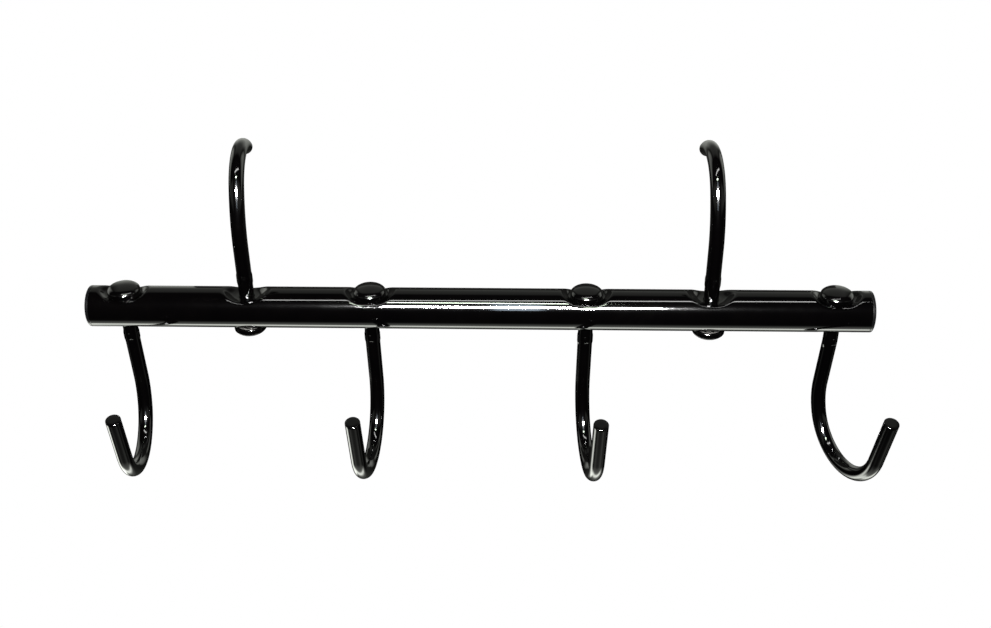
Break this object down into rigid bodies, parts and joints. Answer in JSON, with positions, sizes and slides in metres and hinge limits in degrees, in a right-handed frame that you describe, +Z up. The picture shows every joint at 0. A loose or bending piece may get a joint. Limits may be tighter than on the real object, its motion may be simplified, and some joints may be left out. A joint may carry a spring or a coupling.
{
  "type": "hanging tack rack",
  "caption": "Round crossbar that hangs over a rail from two crowned hooks and carries swivelling J-shaped tack hooks held by domed push-on caps.",
  "frame": {"origin": "middle of the line on which the crowns of the two hanging hooks rest on a rail", "axes": "+X along the crossbar, -Y to the front, where the tack hooks reach out, +Z up"},
  "size_m": [0.4896, 0.1294, 0.1955],
  "materials": {
    "tube_coat": "gloss black coat",
    "hook_coat": "gloss black coat",
    "cap_coat": "satin black",
    "plug_plastic": "fine satin black",
    "retainer_steel": "plain spring steel"
  },
  "bodies": {
    "crossbar": {"crossbar_tube": "tube_coat", "end_plug_left": "plug_plastic", "end_plug_right": "plug_plastic"},
    "tack_hook_left_outer": {"tack_hook_left_outer": "hook_coat", "cap_left_outer": "cap_coat", "retainer_left_outer": "retainer_steel"},
    "tack_hook_left_inner": {"tack_hook_left_inner": "hook_coat", "cap_left_inner": "cap_coat", "retainer_left_inner": "retainer_steel"},
    "tack_hook_right_inner": {"tack_hook_right_inner": "hook_coat", "cap_right_inner": "cap_coat", "retainer_right_inner": "retainer_steel"},
    "tack_hook_right_outer": {"tack_hook_right_outer": "hook_coat", "cap_right_outer": "cap_coat", "retainer_right_outer": "retainer_steel"},
    "rail_hook_left": {"rail_hook_left": "hook_coat", "cap_rail_left": "cap_coat", "retainer_rail_left": "retainer_steel"},
    "rail_hook_right": {"rail_hook_right": "hook_coat", "cap_rail_right": "cap_coat", "retainer_rail_right": "retainer_steel"}
  },
  "joints": [
    {"name": "swivel_left_outer", "type": "hinge", "parent": "crossbar", "child": "tack_hook_left_outer", "pos_m": [-0.2191, -0.03454, -0.08609], "axis": [0, 0, 1], "continuous": true},
    {"name": "swivel_left_inner", "type": "hinge", "parent": "crossbar", "child": "tack_hook_left_inner", "pos_m": [-0.0667, -0.03454, -0.08609], "axis": [0, 0, 1], "continuous": true},
    {"name": "swivel_right_inner", "type": "hinge", "parent": "crossbar", "child": "tack_hook_right_inner", "pos_m": [0.0667, -0.03454, -0.08609], "axis": [0, 0, 1], "continuous": true},
    {"name": "swivel_right_outer", "type": "hinge", "parent": "crossbar", "child": "tack_hook_right_outer", "pos_m": [0.2191, -0.03454, -0.08609], "axis": [0, 0, 1], "continuous": true},
    {"name": "swivel_rail_left", "type": "hinge", "parent": "crossbar", "child": "rail_hook_left", "pos_m": [-0.1429, -0.03454, -0.08609], "axis": [0, 0, 1], "continuous": true},
    {"name": "swivel_rail_right", "type": "hinge", "parent": "crossbar", "child": "rail_hook_right", "pos_m": [0.1429, -0.03454, -0.08609], "axis": [0, 0, 1], "continuous": true}
  ]
}
